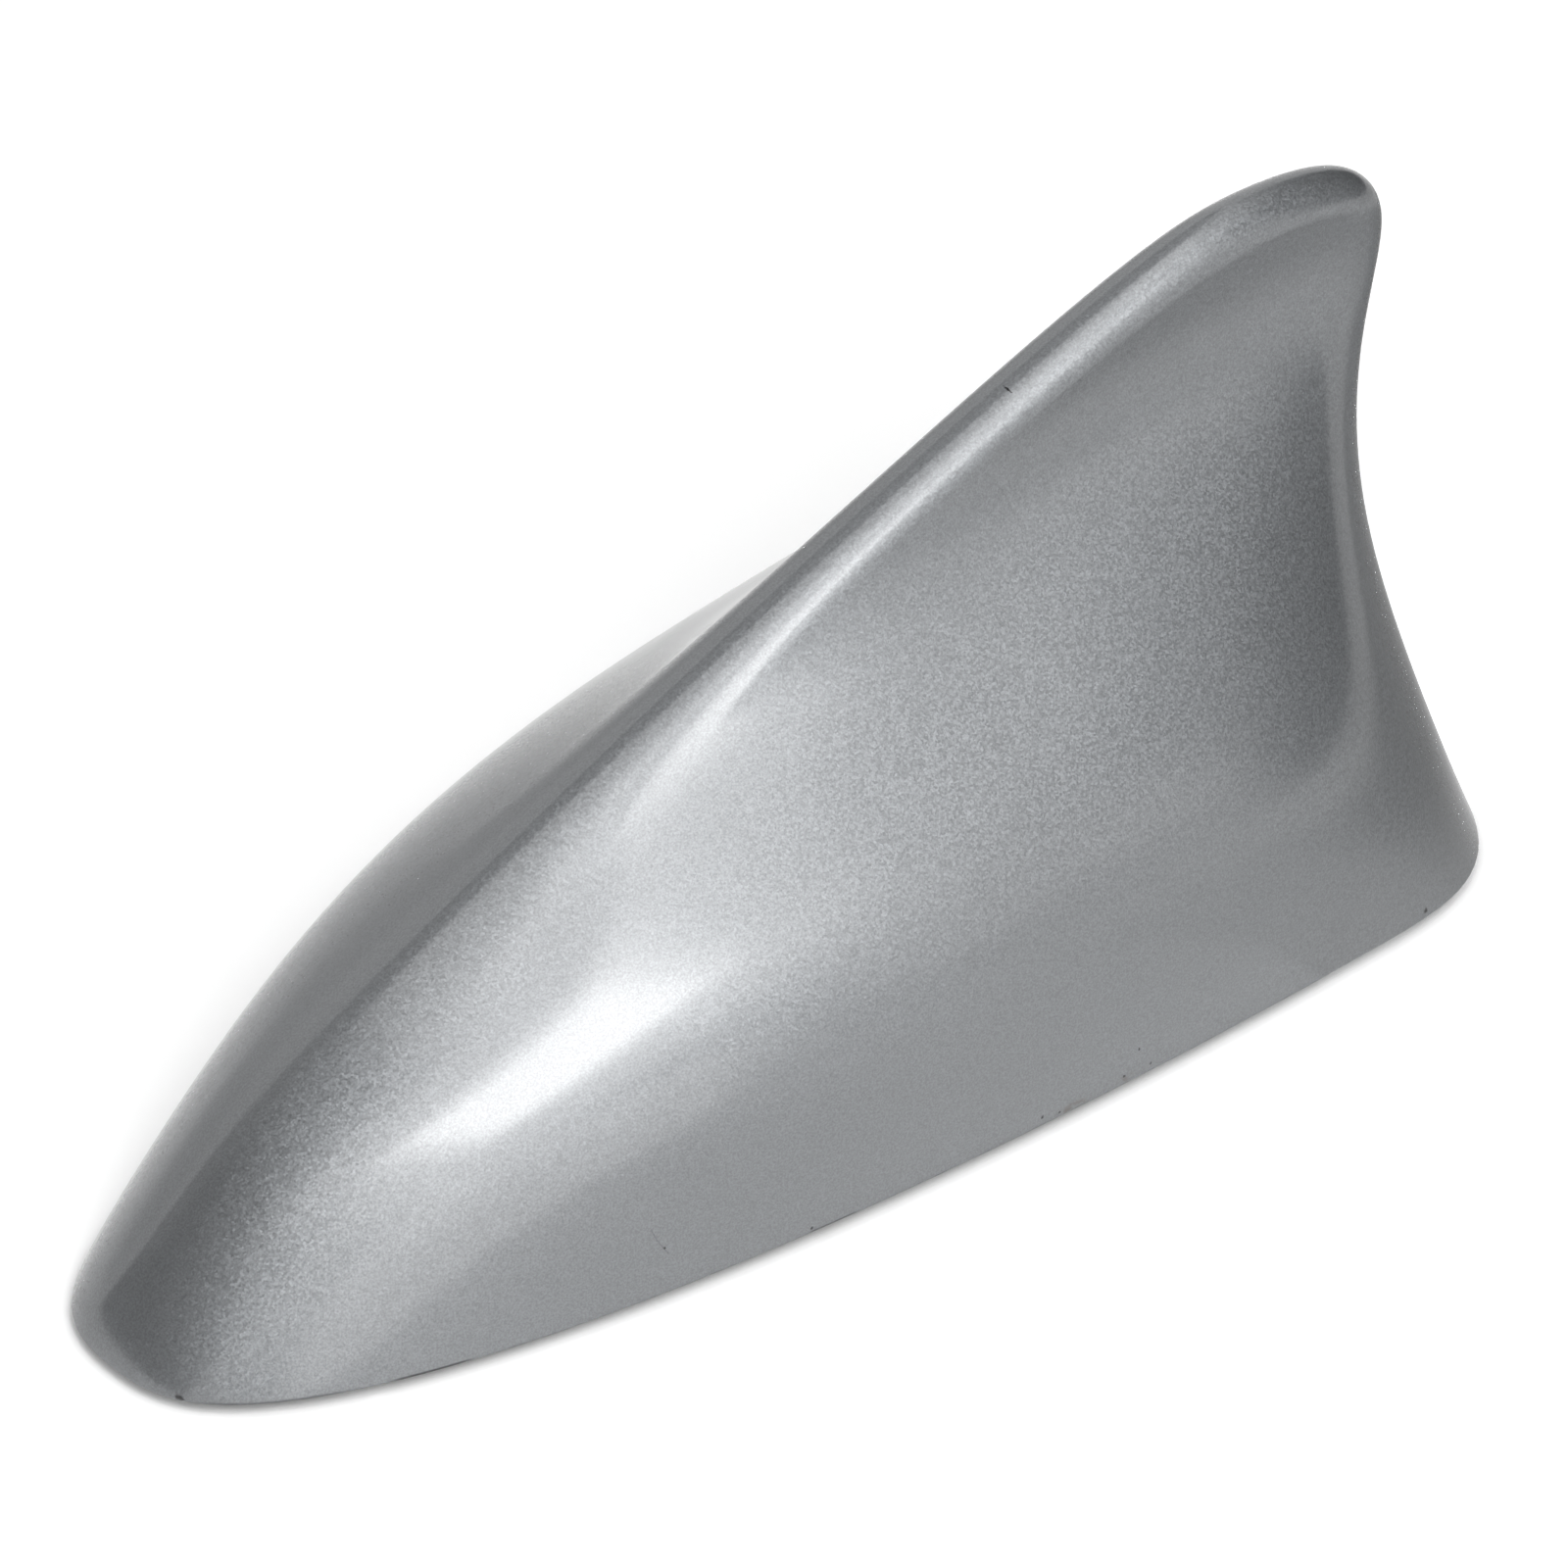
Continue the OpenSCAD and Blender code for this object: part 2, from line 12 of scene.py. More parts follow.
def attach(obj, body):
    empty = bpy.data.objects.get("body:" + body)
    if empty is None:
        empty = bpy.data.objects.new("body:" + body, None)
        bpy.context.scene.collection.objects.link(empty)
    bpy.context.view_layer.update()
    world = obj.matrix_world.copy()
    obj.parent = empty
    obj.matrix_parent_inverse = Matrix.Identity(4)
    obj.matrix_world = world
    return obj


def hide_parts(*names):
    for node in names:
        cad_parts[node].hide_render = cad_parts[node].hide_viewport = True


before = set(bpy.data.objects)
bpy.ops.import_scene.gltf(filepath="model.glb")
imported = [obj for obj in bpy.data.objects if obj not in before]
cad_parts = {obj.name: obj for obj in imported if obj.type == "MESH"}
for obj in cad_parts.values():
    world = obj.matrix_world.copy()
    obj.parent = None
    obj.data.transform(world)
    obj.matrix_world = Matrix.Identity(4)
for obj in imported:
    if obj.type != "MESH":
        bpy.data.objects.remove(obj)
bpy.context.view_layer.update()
MM = 0.001

# ---- cover: the same curves as the solids ----
LENGTH, WIDTH, HEIGHT, WALL = 160, 64, 67.5, 2.2
TIP = 0.377
RIDGE = [(-0.5, 0), (-0.495, 0.137), (-0.277, 0.488), (-0.542, 0.158), (0.233, 1), (TIP, 1)]
TRAIL = [(0.5, 0), (0.474, 0.243), (0.429, 0.581), (0.419, 0.639), (0.64, 1), (TIP, 1)]
WIDEST = (0.82, 0.21)
FRONT_POWER, FRONT_ROOT = (2.04, 3.45), [(0.4,), (0.86,), (1.16,)]
REAR_POWER = (3.48, 1.66)
EDGE_R = (2.8, 3.5)
FLANK_FULL, FLANK_DRAW = 3.1, 4.5
INNER_TOP = 0.86
RIM_R = 0.3
SLICES, SIDE_POINTS, INNER_SLICES = 170, 110, 40
LIP_SLICES = [0, 0.0005, 0.001, 0.0016, 0.0024, 0.0034, 0.0048, 0.0064, 0.009]


def mix(a, b, k):
    return a + (b - a) * k


def curve(points, s):
    while len(points) > 1:
        points = [tuple(mix(a, b, s) for a, b in zip(p, q)) for p, q in zip(points, points[1:])]
    return points[0]


def climb(points, s):
    steps = [tuple(b - a for a, b in zip(p, q)) for p, q in zip(points, points[1:])]
    x, z = curve(steps, s)
    return abs(z) / max(math.hypot(x, z), 1e-4)


def scaled(points):
    return [(x * LENGTH, z * HEIGHT) for x, z in points]


RIDGE_MM, TRAIL_MM = scaled(RIDGE), scaled(TRAIL)


def slice_at(s):
    r, q = curve(RIDGE_MM, s), curve(TRAIL_MM, s)
    return {
        "r": r, "q": q, "c": math.dist(r, q),
        "up_r": climb(RIDGE_MM, s), "up_q": climb(TRAIL_MM, s),
        "full": WIDTH / 2 * max(1 - s ** FLANK_FULL, 0) ** FLANK_DRAW,
        "m": mix(*WIDEST, s), "front": mix(*FRONT_POWER, s),
        "root": curve(FRONT_ROOT, s)[0], "rear": mix(*REAR_POWER, s),
        "edge": mix(*EDGE_R, s),
    }


def half_width(f, t):
    m = f["m"]
    front = max(1 - (1 - t / m) ** f["front"], 0) ** f["root"] if t < m else 1
    rear = math.sqrt(max(1 - ((t - m) / (1 - m)) ** f["rear"], 0)) if t > m else 1
    u, v = t * f["c"] * f["up_r"], (1 - t) * f["c"] * f["up_q"]
    d = u * v / (u + v + 1e-4)
    edge = f["edge"] * math.sqrt(1 - (1 - min(d / f["edge"], 1)) ** 2)
    return math.hypot(f["full"] * front * rear, edge)


def skin(f, t):
    return Vector((mix(f["r"][0], f["q"][0], t), half_width(f, t), mix(f["r"][1], f["q"][1], t)))


def skin_normal(s, t):
    e = 0.002
    s0, s1, t0, t1 = max(s - e, 0), min(s + e, 1), max(t - e, 0), min(t + e, 1)
    f = slice_at(s)
    n = (skin(f, t1) - skin(f, t0)).cross(skin(slice_at(s1), t) - skin(slice_at(s0), t))
    if t < e or t > 1 - e:
        n.y = 0
    return n.normalized()


def ring(half):
    """The near side from ridge to trailing edge, then the far side back."""
    near = [Vector((p.x, -p.y, p.z)) for p in half]
    return near + [p.copy() for p in half[-2:0:-1]]


def t_steps(n):
    return [(1 - math.cos(math.pi * j / n)) / 2 for j in range(n + 1)]


def outer_half(s):
    f = slice_at(s)
    half = []
    for j, t in enumerate(t_steps(SIDE_POINTS)):
        p = skin(f, t)
        if j in (0, SIDE_POINTS):
            p.y = 0
        if p.z < RIM_R:
            n = skin_normal(s, t)
            flat = Vector((n.x, n.y, 0)).normalized()
            p += flat * (RIM_R - math.sqrt(max(RIM_R ** 2 - (RIM_R - p.z) ** 2, 0)))
            p.y = 0 if j in (0, SIDE_POINTS) else max(p.y, 0.001)
        half.append(p)
    return half


def inner_half(s):
    f = slice_at(s)
    half = []
    for j, t in enumerate(t_steps(SIDE_POINTS)):
        p = skin(f, t) + skin_normal(s, t) * WALL
        p.y = 0 if j in (0, SIDE_POINTS) else max(p.y, 0)
        if s == 0:
            p.z = 0
        half.append(p)
    return half


def band(a, b, n, flip=False):
    quads = [(a + j, a + (j + 1) % n, b + (j + 1) % n, b + j) for j in range(n)]
    return [q[::-1] for q in quads] if flip else quads


def new_piece(name, points, faces, sharp=40):
    mesh = bpy.data.meshes.new(name)
    mesh.from_pydata([p * MM for p in points], [], faces)
    mesh.validate()
    mesh.shade_smooth()
    mesh.set_sharp_from_angle(angle=math.radians(sharp))
    piece = bpy.data.objects.new(name, mesh)
    bpy.context.scene.collection.objects.link(piece)
    return piece


def cover_shell():
    n = 2 * SIDE_POINTS
    rows = LIP_SLICES + [s for s in ((math.sin(math.pi / 2 * i / SLICES) + i / SLICES) / 2
                                     for i in range(SLICES)) if s > 0.012]
    points, faces = [], []
    for s in rows:
        points += ring(outer_half(s))
    faces += [q for i in range(len(rows) - 1) for q in band(i * n, (i + 1) * n, n)]
    apex = len(points)
    points.append(Vector((TIP * LENGTH, 0, HEIGHT)))
    faces += [(apex - n + j, apex - n + (j + 1) % n, apex) for j in range(n)]
    first = len(points)
    for i in range(INNER_SLICES + 1):
        points += ring(inner_half(INNER_TOP * i / INNER_SLICES))
    faces += [q for i in range(INNER_SLICES)
              for q in band(first + i * n, first + (i + 1) * n, n, flip=True)]
    faces += band(0, first, n, flip=True)
    top = first + INNER_SLICES * n
    faces += [(top + j, top + n - j, top + n - j - 1, top + j + 1)
              for j in range(1, SIDE_POINTS - 1)]
    faces += [(top, top + n - 1, top + 1),
              (top + SIDE_POINTS - 1, top + SIDE_POINTS + 1, top + SIDE_POINTS)]
    return points, faces


def height_over(x, y):
    """Height of the cover's outer face over the point x, y."""
    low, high = 0.0, 1.0
    for _ in range(22):
        s = (low + high) / 2
        f = slice_at(s)
        t = (x - f["r"][0]) / (f["q"][0] - f["r"][0])
        inside = 0 < t < 1 and half_width(f, t) > abs(y)
        low, high = (s, high) if inside else (low, s)
    return mix(f["r"][1], f["q"][1], min(max(t, 0), 1))


def boss(points, faces, low, bore):
    """Tube with its closed end in the cover's wall, round a screw's axis."""
    (x, y), steps = bore, 40
    top = min(height_over(x + 3.5 * math.cos(a), y + 3.5 * math.sin(a))
              for a in (math.pi / 6 * k for k in range(12))) - WALL / 2
    rows = [(3.5, top), (3.5, low + 0.3), (3.2, low), (1.75, low), (1.5, low + 0.25), (1.5, 14.2)]
    start = len(points)
    for r, z in rows:
        points += [Vector((x + r * math.cos(2 * math.pi * k / steps),
                           y + r * math.sin(2 * math.pi * k / steps), z)) for k in range(steps)]
    for i in range(len(rows) - 1):
        faces += band(start + i * steps, start + (i + 1) * steps, steps, flip=True)
    faces.append(tuple(start + k for k in range(steps)))
    faces.append(tuple(start + (len(rows) - 1) * steps + k for k in reversed(range(steps))))


cover_points, cover_faces = cover_shell()
for place in [(-46, 12.2), (-46, -12.2), (53, 19.1), (53, -19.1)]:
    boss(cover_points, cover_faces, 3.7, place)
cover = new_piece("painted_cover", cover_points, cover_faces)
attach(cover, "root")
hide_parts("cover")


# ---- materials ----
NOISE_ROUGH = 0.55


def tree(name):
    mat = bpy.data.materials.new(name)
    mat.use_nodes = True
    nt = mat.node_tree
    bsdf = nt.nodes["Principled BSDF"]
    place = nt.nodes.new("ShaderNodeTexCoord").outputs["Object"]
    return mat, nt, bsdf, place


def noise(nt, place, size, detail=3.0):
    n = nt.nodes.new("ShaderNodeTexNoise")
    n.inputs["Scale"].default_value = 1 / size
    n.inputs["Detail"].default_value = detail
    n.inputs["Roughness"].default_value = NOISE_ROUGH
    nt.links.new(place, n.inputs["Vector"])
    return n.outputs["Fac"]


def cells(nt, place, size):
    n = nt.nodes.new("ShaderNodeTexVoronoi")
    n.inputs["Scale"].default_value = 1 / size
    nt.links.new(place, n.inputs["Vector"])
    return n


def stretched(nt, place, factors):
    n = nt.nodes.new("ShaderNodeMapping")
    n.inputs["Scale"].default_value = factors
    nt.links.new(place, n.inputs["Vector"])
    return n.outputs["Vector"]


def ramp(nt, value, low, high, out_low, out_high):
    n = nt.nodes.new("ShaderNodeMapRange")
    n.interpolation_type = "SMOOTHSTEP"
    for k, v in (("From Min", low), ("From Max", high), ("To Min", out_low), ("To Max", out_high)):
        n.inputs[k].default_value = v
    nt.links.new(value, n.inputs["Value"])
    return n.outputs["Result"]


def maths(nt, what, a, b=None):
    n = nt.nodes.new("ShaderNodeMath")
    n.operation = what
    for k, v in enumerate((a, b)):
        if v is None:
            continue
        if isinstance(v, (int, float)):
            n.inputs[k].default_value = v
        else:
            nt.links.new(v, n.inputs[k])
    return n.outputs[0]


def blend(nt, fac, a, b):
    n = nt.nodes.new("ShaderNodeMix")
    n.data_type = "RGBA"
    if isinstance(fac, (int, float)):
        n.inputs[0].default_value = fac
    else:
        nt.links.new(fac, n.inputs[0])
    for k, v in ((6, a), (7, b)):
        if isinstance(v, tuple):
            n.inputs[k].default_value = (*v, 1)
        else:
            nt.links.new(v, n.inputs[k])
    return n.outputs[2]


def bump(nt, height, strength, depth, normal=None):
    n = nt.nodes.new("ShaderNodeBump")
    n.inputs["Strength"].default_value = strength
    n.inputs["Distance"].default_value = depth
    nt.links.new(height, n.inputs["Height"])
    if normal is not None:
        nt.links.new(normal, n.inputs["Normal"])
    return n.outputs["Normal"]


def shade(color, k):
    return tuple(min(c * k, 1) for c in color)


def plain(name, color, rough, metallic=0.0, grain=0.0005, tint=0.15, rough_by=0.08,
          depth=0.00003, stretch=None, blotch=0.012, **sockets):
    """Grain, blotches and uneven gloss for a moulded, rubber or metal part."""
    mat, nt, bsdf, place = tree(name)
    fine_at = stretched(nt, place, stretch) if stretch else place
    fine = noise(nt, fine_at, grain, 4)
    broad = noise(nt, place, blotch, 2)
    both = maths(nt, "ADD", maths(nt, "MULTIPLY", fine, 0.6), maths(nt, "MULTIPLY", broad, 0.4))
    nt.links.new(blend(nt, ramp(nt, both, 0.35, 0.65, 0, 1), shade(color, 1 - tint),
                       shade(color, 1 + tint)), bsdf.inputs["Base Color"])
    nt.links.new(ramp(nt, broad, 0.3, 0.7, rough - rough_by, rough + rough_by),
                 bsdf.inputs["Roughness"])
    nt.links.new(bump(nt, fine, 0.6, depth), bsdf.inputs["Normal"])
    bsdf.inputs["Metallic"].default_value = metallic
    for socket, value in sockets.items():
        bsdf.inputs[socket.replace("_", " ")].default_value = value
    return mat


# Silver paint: a flake coat under clear lacquer
PAINT = (0.205, 0.2135, 0.2215)
FLAKE, FLAKE_TILT = 0.00022, 0.2
GRAIN, GRAIN_DEPTH = 0.0002, 0.14
PAINT_ROUGH, PAINT_ROUGH_BY = 0.55, 0.02
PEEL = 0.0022
# Chips and pits by side, in mm: (x, z), radius
NEAR_CHIPS = [((-78.0, 0.5), 0.3), ((8.5, 1.3), 0.2), ((10.7, 0.8), 0.16), ((18.7, 1.3), 0.2),
              ((20.4, 3.8), 0.17), ((22, 1.2), 0.15), ((59.1, 1.1), 0.34), ((-18.6, 0.8), 0.25),
              ((-34.5, 5.4), 0.16), ((30.7, 59.6), 0.11)]
FAR_CHIPS = [((-8.7, 30.6), 0.22), ((-37.2, 23.2), 0.22)]
# Painted shade along the rim's lower edge, where it meets the table, in dark stretches: middle,
# half length, strength
RIM_SHADE_LINES = [(-58.2, 4.4, 0.95), (-16.2, 3.2, 0.85), (-71.5, 7, 0.4)]
# Hair scratch as an arc: centre, radius, middle, reach, strength
HAIRS = [((-24.25, 11.43), 12, (-35.05, 6.2), 2.1, 0.28)]
# Patches of dirt at the near rim: middle, reach
DIRT = [((12.4, 0.6), 2.4), ((19, 1.5), 1.5)]
# Chips, the scratch and the painted shade at the rim's lower edge share one dark colour
MARK_AND_SHADE_COLOR, DIRT_COLOR = (0.012, 0.012, 0.013), (0.11, 0.095, 0.07)
WARP, WARP_SCALE = 0.00025, 3000


def away(nt, place, x, z):
    """Distance from a point of the side view."""
    n = nt.nodes.new("ShaderNodeVectorMath")
    n.operation = "DISTANCE"
    n.inputs[1].default_value = (x * MM, 0, z * MM)
    nt.links.new(place, n.inputs[0])
    return n.outputs["Value"]


def product(nt, *values):
    result = values[0]
    for value in values[1:]:
        result = maths(nt, "MULTIPLY", result, value)
    return result


def either(nt, values):
    result = values[0]
    for value in values[1:]:
        result = maths(nt, "MAXIMUM", result, value)
    return result


def chips(nt, place, side, marks):
    return product(nt, side, either(nt, [ramp(nt, away(nt, place, x, z), 0.5 * r * MM, 1.1 * r * MM,
                                              1, 0) for (x, z), r in marks]))


def paint_marks(nt, place):
    """Masks of the dark marks, of the painted shade at the rim's lower edge and of the dirt at the
    rim, from the side view.
    """
    warp = nt.nodes.new("ShaderNodeTexNoise")
    warp.inputs["Scale"].default_value = WARP_SCALE
    warp.inputs["Detail"].default_value = 0
    nt.links.new(place, warp.inputs["Vector"])
    moved = nt.nodes.new("ShaderNodeVectorMath")
    moved.operation = "MULTIPLY_ADD"
    moved.inputs[1].default_value = (WARP,) * 3
    nt.links.new(warp.outputs["Color"], moved.inputs[0])
    nt.links.new(place, moved.inputs[2])
    flat = stretched(nt, moved.outputs[0], (1, 0, 1))
    axes = nt.nodes.new("ShaderNodeSeparateXYZ")
    nt.links.new(place, axes.inputs[0])
    x, y, z = axes.outputs
    near = maths(nt, "LESS_THAN", y, 0)
    far = maths(nt, "GREATER_THAN", y, 0)
    low_edge = ramp(nt, z, 0.00022, 0.00042, 1, 0)
    # Painted shade: dark stretches at the rim's lower edge, on the near side
    shade_lines = [product(nt, near, low_edge, ramp(nt, maths(nt, "ABSOLUTE", maths(nt, "SUBTRACT", x,
             middle * MM)), 0.6 * half * MM, half * MM, strength, 0))
             for middle, half, strength in RIM_SHADE_LINES]
    hairs = [product(nt, near, ramp(nt, away(nt, flat, *mid), 0.75 * reach * MM, reach * MM,
                                    strength, 0),
                     ramp(nt, maths(nt, "ABSOLUTE", maths(nt, "SUBTRACT", away(nt, flat, *centre),
                                                          r * MM)), 0.00003, 0.0001, 1, 0))
             for centre, r, mid, reach, strength in HAIRS]
    dark = either(nt, [chips(nt, flat, near, NEAR_CHIPS), chips(nt, flat, far, FAR_CHIPS)]
                  + shade_lines + hairs)
    patches = either(nt, [ramp(nt, away(nt, flat, *at), 0.2 * reach * MM, reach * MM, 1, 0)
                          for at, reach in DIRT])
    dirt = product(nt, near, patches, ramp(nt, z, 0.0005, 0.0015, 1, 0),
                   ramp(nt, noise(nt, place, 0.0006, 0), 0.4, 0.6, 0.1, 0.65))
    return dark, dirt


def silver_paint():
    mat, nt, bsdf, place = tree("silver_paint")
    flake = cells(nt, place, FLAKE)
    tilt = nt.nodes.new("ShaderNodeVectorMath")
    tilt.operation = "MULTIPLY_ADD"
    tilt.inputs[1].default_value = (FLAKE_TILT,) * 3
    tilt.inputs[2].default_value = (-FLAKE_TILT / 2,) * 3
    nt.links.new(flake.outputs["Color"], tilt.inputs[0])
    add = nt.nodes.new("ShaderNodeVectorMath")
    add.operation = "ADD"
    geometry = nt.nodes.new("ShaderNodeNewGeometry")
    nt.links.new(tilt.outputs[0], add.inputs[0])
    nt.links.new(geometry.outputs["Normal"], add.inputs[1])
    unit = nt.nodes.new("ShaderNodeVectorMath")
    unit.operation = "NORMALIZE"
    nt.links.new(add.outputs[0], unit.inputs[0])
    nt.links.new(unit.outputs[0], bsdf.inputs["Normal"])
    peel = noise(nt, place, PEEL, 2)
    nt.links.new(bump(nt, peel, 0.12, 0.00002), bsdf.inputs["Coat Normal"])
    grain = noise(nt, place, GRAIN, 2)
    color = blend(nt, ramp(nt, grain, 0.3, 0.7, 0, 1), shade(PAINT, 1 - GRAIN_DEPTH),
                  shade(PAINT, 1 + GRAIN_DEPTH))
    dark, dirt = paint_marks(nt, place)
    # Chips, the scratch and the painted shade at the rim go over the dirt and the grain
    color = blend(nt, dark, blend(nt, dirt, color, DIRT_COLOR), MARK_AND_SHADE_COLOR)
    nt.links.new(color, bsdf.inputs["Base Color"])
    nt.links.new(ramp(nt, noise(nt, place, 0.02, 2), 0.3, 0.7, PAINT_ROUGH - PAINT_ROUGH_BY,
                      PAINT_ROUGH + PAINT_ROUGH_BY), bsdf.inputs["Roughness"])
    bsdf.inputs["Metallic"].default_value = 1.0
    bsdf.inputs["Specular Tint"].default_value = (0.1, 0.1, 0.1, 1)
    bsdf.inputs["Coat Weight"].default_value = 1.0
    bsdf.inputs["Coat Roughness"].default_value = 0.13
    bsdf.inputs["Coat IOR"].default_value = 1.6
    return mat


def board_mask():
    """Solder mask over copper tracks."""
    mat, nt, bsdf, place = tree("board_green")
    brick = nt.nodes.new("ShaderNodeTexBrick")
    brick.inputs["Scale"].default_value = 260
    brick.inputs["Mortar Size"].default_value = 0.035
    brick.inputs["Color1"].default_value = (0.012, 0.085, 0.035, 1)
    brick.inputs["Color2"].default_value = (0.016, 0.1, 0.042, 1)
    brick.inputs["Mortar"].default_value = (0.05, 0.22, 0.08, 1)
    nt.links.new(place, brick.inputs["Vector"])
    nt.links.new(blend(nt, noise(nt, place, 0.006), brick.outputs["Color"], (0.02, 0.12, 0.05)),
                 bsdf.inputs["Base Color"])
    nt.links.new(bump(nt, brick.outputs["Fac"], 0.5, 0.00004), bsdf.inputs["Normal"])
    nt.links.new(ramp(nt, noise(nt, place, 0.004), 0.3, 0.7, 0.25, 0.4), bsdf.inputs["Roughness"])
    bsdf.inputs["Coat Weight"].default_value = 0.4
    return mat


def foam(name, color, pore):
    """Open cells, their hollows darkened with painted shade and their walls painted lighter, over a
    bump of the same cells.
    """
    mat, nt, bsdf, place = tree(name)
    cell = cells(nt, place, pore)
    # Painted shade: darker in each cell's hollow, lighter on its walls
    nt.links.new(blend(nt, ramp(nt, cell.outputs["Distance"], 0.1, 0.7, 0, 1), shade(color, 0.4),
                       shade(color, 1.3)), bsdf.inputs["Base Color"])
    nt.links.new(bump(nt, cell.outputs["Distance"], 0.9, 0.0002), bsdf.inputs["Normal"])
    nt.links.new(ramp(nt, noise(nt, place, 0.004), 0.3, 0.7, 0.82, 0.95), bsdf.inputs["Roughness"])
    bsdf.inputs["Sheen Weight"].default_value = 0.15
    return mat


MATERIALS = {
    "silver_paint": silver_paint(),
    "black_moulding": plain("black_moulding", (0.03, 0.03, 0.032), 0.52, grain=0.0004, tint=0.25,
                            depth=0.00004),
    "pad_foam": foam("pad_foam", (0.05, 0.05, 0.052), 0.0006),
    "black_rubber": plain("black_rubber", (0.02, 0.02, 0.02), 0.68, grain=0.0007, tint=0.3),
    "zinc_steel": plain("zinc_steel", (0.55, 0.55, 0.53), 0.32, 1.0, grain=0.0003, tint=0.1),
    "tinned_steel": plain("tinned_steel", (0.6, 0.6, 0.6), 0.3, 1.0, grain=0.0006, tint=0.08,
                          stretch=(1, 14, 14)),
    "contact_brass": plain("contact_brass", (0.7, 0.5, 0.2), 0.28, 1.0, grain=0.0004, tint=0.1),
    "board_green": board_mask(),
    "natural_nylon": plain("natural_nylon", (0.7, 0.66, 0.55), 0.42, grain=0.0008, tint=0.06,
                           Subsurface_Weight=0.15, Subsurface_Scale=0.002),
    "copper_wire": plain("copper_wire", (0.6, 0.28, 0.13), 0.3, 1.0, grain=0.0005, tint=0.18,
                         Coat_Weight=0.7),
    "damping_foam": foam("damping_foam", (0.08, 0.08, 0.085), 0.0009),
    "chip_black": plain("chip_black", (0.02, 0.02, 0.022), 0.5, grain=0.0003, tint=0.3),
    "ceramic_tan": plain("ceramic_tan", (0.42, 0.3, 0.18), 0.45, grain=0.0003, tint=0.15),
    "can_aluminium": plain("can_aluminium", (0.7, 0.7, 0.7), 0.3, 1.0, grain=0.0004, tint=0.06,
                           stretch=(1, 1, 12)),
    "ferrite": plain("ferrite", (0.06, 0.06, 0.065), 0.55, grain=0.0004, tint=0.3),
}
NODE_SLOTS = {
    "cover": "silver_paint", "base_plate": "black_moulding", "adhesive_pad": "pad_foam",
    "perimeter_seal": "black_rubber", "cable_grommet": "black_rubber",
    "cover_screws": "zinc_steel", "ground_plate": "tinned_steel", "earth_spring": "contact_brass",
    "circuit_board": "board_green", "board_screws": "zinc_steel", "element_mast": "natural_nylon",
    "antenna_coil": "copper_wire", "top_load_plate": "tinned_steel", "foam_pads": "damping_foam",
    "coil_terminal": "contact_brass", "lead_pins": "contact_brass",
    "amplifier_chip": "chip_black", "chip_capacitors": "ceramic_tan",
    "chip_resistors": "chip_black", "electrolytic_capacitor": "can_aluminium",
    "choke_core": "ferrite", "choke_winding": "copper_wire",
}


def paint(piece, slot):
    piece.data.materials.clear()
    piece.data.materials.append(MATERIALS[slot])


for node, slot in NODE_SLOTS.items():
    paint(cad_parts[node], slot)
    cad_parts[node].data.shade_smooth()
    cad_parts[node].data.set_sharp_from_angle(angle=math.radians(30))
paint(cover, "silver_paint")

# ---- table, studio and camera ----
FLOOR, TABLE_Z, TABLE_STEPS = 3.0, -0.0009, 96
TABLE_COLOR, TABLE_GLOW = 0.86, 0.42
# Painted contact shadow: near the object, ambient occlusion darkens the table's colour and its glow
SHADOW_REACH, SHADOW_DEPTH = 0.0018, 0.25
# Between these radii the table goes over to the white of the world behind it
WHITE_FROM, WHITE_TO = 0.25, 1.1
floor_mesh = bpy.data.meshes.new("table")
floor_mesh.from_pydata([(FLOOR * math.cos(2 * math.pi * k / TABLE_STEPS),
                         FLOOR * math.sin(2 * math.pi * k / TABLE_STEPS), TABLE_Z)
                        for k in range(TABLE_STEPS)], [], [tuple(range(TABLE_STEPS))])
table = bpy.data.objects.new("table", floor_mesh)
bpy.context.scene.collection.objects.link(table)
white, tt, white_bsdf, on_table = tree("white_table")
white_bsdf.inputs["Roughness"].default_value = 0.9
white_bsdf.inputs["Specular IOR Level"].default_value = 0.0
white_bsdf.inputs["Emission Color"].default_value = (1, 1, 1, 1)
# Painted contact shadow, from ambient occlusion, in the table's colour and its glow
painted_contact_shade = tt.nodes.new("ShaderNodeAmbientOcclusion")
painted_contact_shade.inputs["Distance"].default_value = SHADOW_REACH
painted_contact_shade.samples = 1
shadow = blend(tt, painted_contact_shade.outputs["AO"], (SHADOW_DEPTH,) * 3, (1, 1, 1))
radius = tt.nodes.new("ShaderNodeVectorMath")
radius.operation = "LENGTH"
tt.links.new(on_table, radius.inputs[0])
far_off = ramp(tt, radius.outputs["Value"], WHITE_FROM, WHITE_TO, 0, 1)
lit = blend(tt, far_off, (TABLE_COLOR,) * 3, (0, 0, 0))
tt.links.new(blend(tt, shadow, (0, 0, 0), lit), white_bsdf.inputs["Base Color"])
tt.links.new(maths(tt, "MULTIPLY", shadow, ramp(tt, far_off, 0, 1, TABLE_GLOW, 1)),
             white_bsdf.inputs["Emission Strength"])
table.data.materials.append(white)

# The world is white to the camera, to gloss and to glass, and lights nothing else
AMBIENT = 0.0
world = bpy.data.worlds.new("studio")
bpy.context.scene.world = world
world.use_nodes = True
wt = world.node_tree
back = wt.nodes["Background"]
back.inputs["Color"].default_value = (1, 1, 1, 1)
rays = wt.nodes.new("ShaderNodeLightPath")
seen = either(wt, [rays.outputs[k] for k in ("Is Camera Ray", "Is Glossy Ray",
                                             "Is Transmission Ray")])
wt.links.new(ramp(wt, seen, 0, 1, AMBIENT, 1.0), back.inputs["Strength"])


def toward(azimuth, elevation):
    a, e = math.radians(azimuth), math.radians(elevation)
    return Vector((math.sin(a) * math.cos(e), -math.cos(a) * math.cos(e), math.sin(e)))


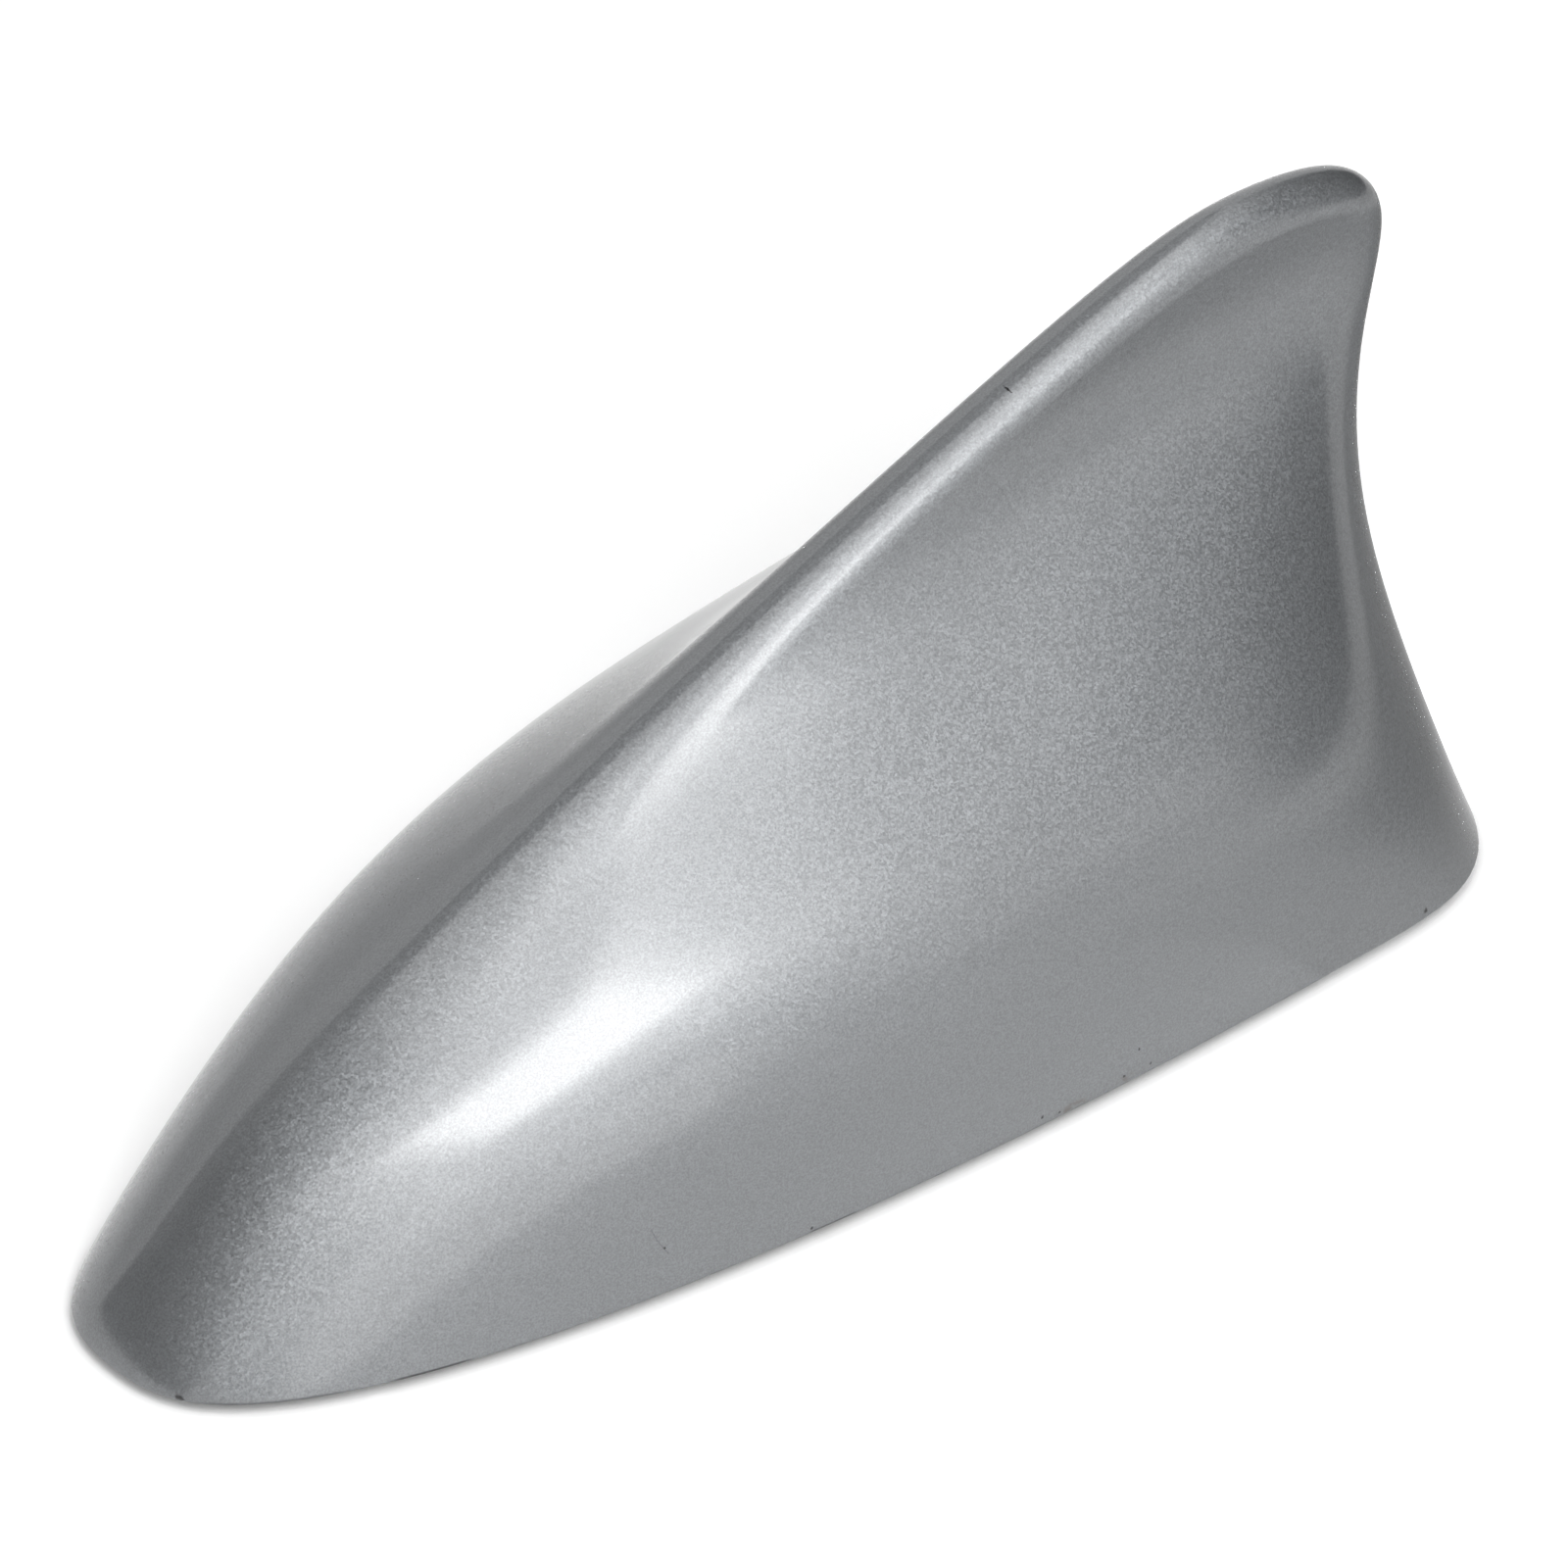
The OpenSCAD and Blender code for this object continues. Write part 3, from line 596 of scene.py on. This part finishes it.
CENTRE = Vector((0.003, 0, 0.026))


def facing(place, azimuth, elevation, turn):
    """Matrix of a panel at place that looks back from that direction, turned in its own plane."""
    a, k = math.radians(azimuth), math.radians(turn)
    out = toward(azimuth, elevation)
    level = Vector((math.cos(a), math.sin(a), 0))
    rise = out.cross(level)
    x = level * math.cos(k) + rise * math.sin(k)
    y = rise * math.cos(k) - level * math.sin(k)
    m = Matrix.Identity(4)
    for row in range(3):
        m[row][0], m[row][1], m[row][2], m[row][3] = x[row], y[row], out[row], place[row]
    return m


def panel(name, azimuth, elevation, distance, turn, size, level, soft=0.0, outer=0.0):
    """Emitting rectangle that the camera doesn't see, size for a distance of 1.

    Its level goes over to the outer one near its edges, in a border of a soft part of the half.
    """
    mesh = bpy.data.meshes.new(name)
    w, h = size[0] * distance / 2, size[1] * distance / 2
    mesh.from_pydata([(-w, -h, 0), (w, -h, 0), (w, h, 0), (-w, h, 0)], [], [(0, 1, 2, 3)])
    piece = bpy.data.objects.new(name, mesh)
    bpy.context.scene.collection.objects.link(piece)
    piece.matrix_world = facing(CENTRE + toward(azimuth, elevation) * distance, azimuth, elevation,
                                turn)
    mat = bpy.data.materials.new(name)
    mat.use_nodes = True
    nt = mat.node_tree
    nt.nodes.clear()
    out = nt.nodes.new("ShaderNodeOutputMaterial")
    glow = nt.nodes.new("ShaderNodeEmission")
    glow.inputs["Strength"].default_value = level
    nt.links.new(glow.outputs[0], out.inputs["Surface"])
    if soft:
        axes = nt.nodes.new("ShaderNodeSeparateXYZ")
        nt.links.new(nt.nodes.new("ShaderNodeTexCoord").outputs["Object"], axes.inputs[0])
        inside = [ramp(nt, maths(nt, "ABSOLUTE", axes.outputs[k]), half * (1 - soft), half, 1, 0)
                  for k, half in enumerate((w, h))]
        nt.links.new(ramp(nt, maths(nt, "MULTIPLY", *inside), 0, 1, outer, level),
                     glow.inputs["Strength"])
    mesh.materials.append(mat)
    piece.visible_camera = False
    return piece


def softbox(*place, soft=0.0):
    """Diffuser that adds its light to what lies behind it."""
    piece = panel(*place, soft=soft)
    piece.visible_shadow = False
    nt = piece.data.materials[0].node_tree
    both = nt.nodes.new("ShaderNodeAddShader")
    nt.links.new(nt.nodes["Emission"].outputs[0], both.inputs[0])
    nt.links.new(nt.nodes.new("ShaderNodeBsdfTransparent").outputs[0], both.inputs[1])
    nt.links.new(both.outputs[0], nt.nodes["Material Output"].inputs["Surface"])
    return piece


def card(*place, soft):
    """Dark card that only gloss sees, with edges that go over to the white round it."""
    piece = panel(*place, soft=soft, outer=1.0)
    piece.visible_diffuse = piece.visible_shadow = False
    return piece


softbox("main_core", -16.6, 51.4, 1.57, 40, (0.4, 0.27), 4.8)
softbox("main_box", -16.6, 51.4, 1.6, 40, (0.53, 0.37), 2.4)
softbox("near_glow", -16.6, 51.4, 1.64, 40, (1.15, 0.95), 1.5, soft=0.5)
softbox("wide_glow", -16.6, 51.4, 1.68, 40, (2.0, 1.7), 0.65, soft=0.7)
softbox("top_panel", 180, 89, 1.72, 0, (0.85, 0.75), 1.5, soft=0.4)
softbox("back_panel", 180, 40, 1.76, 0, (2.0, 1.2), 0.25, soft=0.5)
softbox("front_panel", -12, 12, 1.8, 0, (0.85, 0.7), 1.25, soft=0.5)
softbox("right_panel", 32, 26, 1.84, 0, (0.8, 0.8), 0.3, soft=0.7)
card("left_card", -131, 45, 2.2, 0, (4.1, 2.05), 0.2, soft=0.08)
card("right_card", 80, 24, 2.0, 0, (2.1, 1.3), 0.08, soft=0.5)
card("back_card", 176, 14, 2.3, 0, (1.3, 1.1), 0.75, soft=0.5)
# This one lies on the table, beside the tail: painted shade on the table there, which only the
# paint's gloss sees
TABLE_CARD_X = 0.16
table_card = card("table_card", 0, -90, 0.0263, 0, (9, 9), 0.45, soft=0.6)
table_card.location.x += TABLE_CARD_X

AZIMUTH, ELEVATION, ROLL = -41.729, 36.305, 0.109
DISTANCE, FOCAL, FRAME_PX = 0.82977, 8887.51, 1600
TARGET = Vector((0.002878, 0, 0.026249))
camera_data = bpy.data.cameras.new("camera")
camera_data.sensor_width = 36
camera_data.lens = FOCAL / FRAME_PX * camera_data.sensor_width
camera_data.clip_start, camera_data.clip_end = 0.05, 20
camera = bpy.data.objects.new("camera", camera_data)
bpy.context.scene.collection.objects.link(camera)
camera.matrix_world = facing(TARGET + toward(AZIMUTH, ELEVATION) * DISTANCE, AZIMUTH, ELEVATION,
                             ROLL)
bpy.context.scene.camera = camera
bpy.context.scene.view_settings.view_transform = "Standard"
